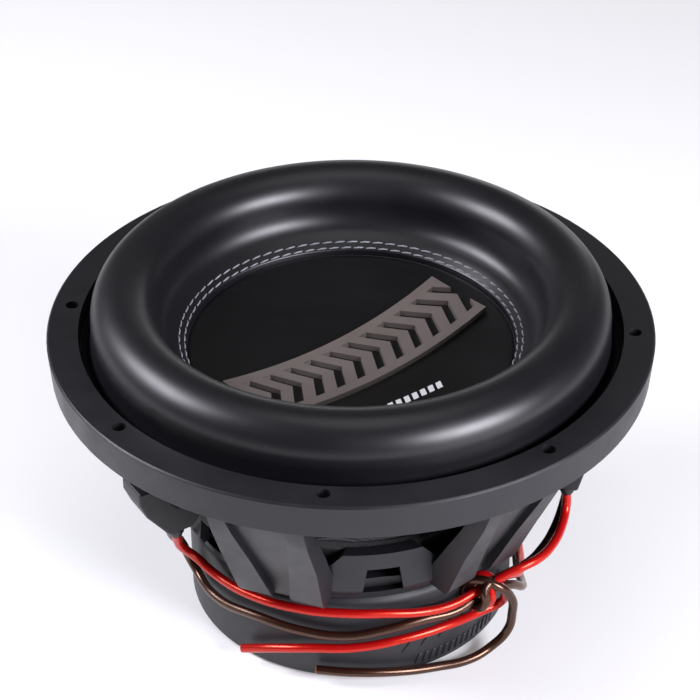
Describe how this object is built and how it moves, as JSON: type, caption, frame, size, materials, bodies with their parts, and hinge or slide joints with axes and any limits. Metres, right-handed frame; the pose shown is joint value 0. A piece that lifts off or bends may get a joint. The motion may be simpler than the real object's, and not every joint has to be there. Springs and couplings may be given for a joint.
{
  "type": "car subwoofer speaker",
  "caption": "Car subwoofer driver with a cast basket, high-roll stitched rubber surround, dished cap, moving coil motor in a rubber boot and wired lead pairs.",
  "frame": {"origin": "centre of the motor's underside, on the surface that the driver stands on", "axes": "+Z along the cone's axis, out of the front; +X through one rim hole, between two legs"},
  "size_m": [0.32, 0.32, 0.1981],
  "materials": {
    "basket": "matte black powder coat on a casting",
    "surround": "satin black moulded rubber",
    "cone": "black pressed pulp",
    "dust_cap": "satin black lacquered cap",
    "badge": "gunmetal plated, satin",
    "thread": "light grey twisted thread",
    "former": "thin tube, tan lacquer",
    "winding": "enamelled copper wire",
    "spider": "dark resin-treated weave",
    "spacer": "black spacer",
    "steel_plate": "black zinc plated steel",
    "magnet": "ferrite, ground faces",
    "yoke": "zinc plated steel",
    "ring_metal": "machined",
    "screen": "pierced sheet",
    "boot": "matte black rubber",
    "screw": "zinc plated",
    "terminal": "black moulding",
    "grommet": "black bushing",
    "tinsel": "braided tinsel",
    "lead_red": "translucent red insulation",
    "lead_black": "translucent black insulation"
  },
  "bodies": {
    "frame": {"basket": "basket", "surround": "surround", "spider_upper": "spider", "spider_lower": "spider", "spider_spacer": "spacer", "top_plate": "steel_plate", "magnet_upper": "magnet", "magnet_lower": "magnet", "yoke": "yoke", "pole_ring": "ring_metal", "vent_screen": "screen", "boot": "boot", "basket_screws": "screw", "terminal_a": "terminal", "terminal_b": "terminal", "tinsel_a1": "tinsel", "tinsel_a2": "tinsel", "tinsel_b1": "tinsel", "tinsel_b2": "tinsel", "grommet_a": "grommet", "grommet_b": "grommet", "lead_a_red": "lead_red", "lead_a_black": "lead_black", "lead_b_red": "lead_red", "lead_b_black": "lead_black"},
    "cone_assembly": {"cone": "cone", "dust_cap": "dust_cap", "badge": "badge", "stitch_outer": "thread", "stitch_inner": "thread", "coil_former": "former", "coil_inner": "winding", "coil_outer": "winding"}
  },
  "joints": [
    {"name": "cone_travel", "type": "slide", "parent": "frame", "child": "cone_assembly", "axis": [0, 0, 1], "range_m": [-0.016, 0.016], "stiffness_N_per_m": 12000, "deforming": ["surround", "spider_upper", "spider_lower", "tinsel_a1", "tinsel_a2", "tinsel_b1", "tinsel_b2"]}
  ]
}
